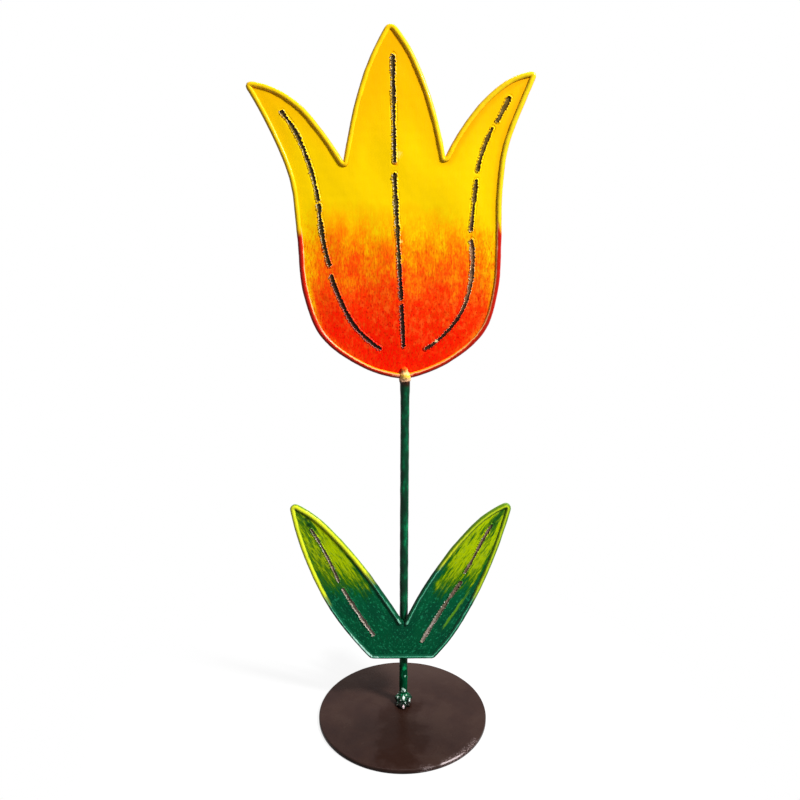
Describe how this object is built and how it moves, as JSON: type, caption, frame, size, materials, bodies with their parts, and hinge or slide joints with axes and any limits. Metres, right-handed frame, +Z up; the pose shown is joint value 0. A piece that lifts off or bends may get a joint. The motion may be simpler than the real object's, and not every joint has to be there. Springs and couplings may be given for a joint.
{
  "type": "painted metal tulip ornament",
  "caption": "Free-standing tulip cut from thin painted steel sheet with a welded wire rim, on a rod stem with two leaves and a round flat foot.",
  "frame": {"origin": "middle of the round foot's underside, on the surface that the ornament stands on", "axes": "+Z up along the stem, the painted front of the flower faces -Y, +X to the viewer's right"},
  "size_m": [0.1538, 0.102, 0.3934],
  "materials": {
    "base_paint": "semi-gloss dark brown paint",
    "foot_weld_paint": "glossy dark green over brown, on a lumpy weld bead",
    "stem_paint": "glossy dark green, dabbed by brush",
    "flower_paint": "brushed from yellow at the petals through orange to red at the base",
    "flower_rim_paint": "glossy yellow above, red below",
    "flower_weld_paint": "glossy orange and yellow over a weld bead, burnt brown below",
    "leaf_paint": "brushed from yellow-green at the tips to deep green at the base",
    "leaf_rim_paint": "glossy lime above, green below"
  },
  "bodies": {
    "root": {"base_disc": "base_paint", "foot_weld": "foot_weld_paint", "stem_rod": "stem_paint", "flower_sheet": "flower_paint", "flower_rim_wire": "flower_rim_paint", "flower_rim_tacks": "flower_rim_paint", "flower_stem_weld": "flower_weld_paint", "leaf_sheet": "leaf_paint", "leaf_rim_wire": "leaf_rim_paint", "leaf_rim_tacks": "leaf_rim_paint", "leaf_notch_weld": "stem_paint", "leaf_back_welds": "stem_paint"}
  },
  "joints": []
}
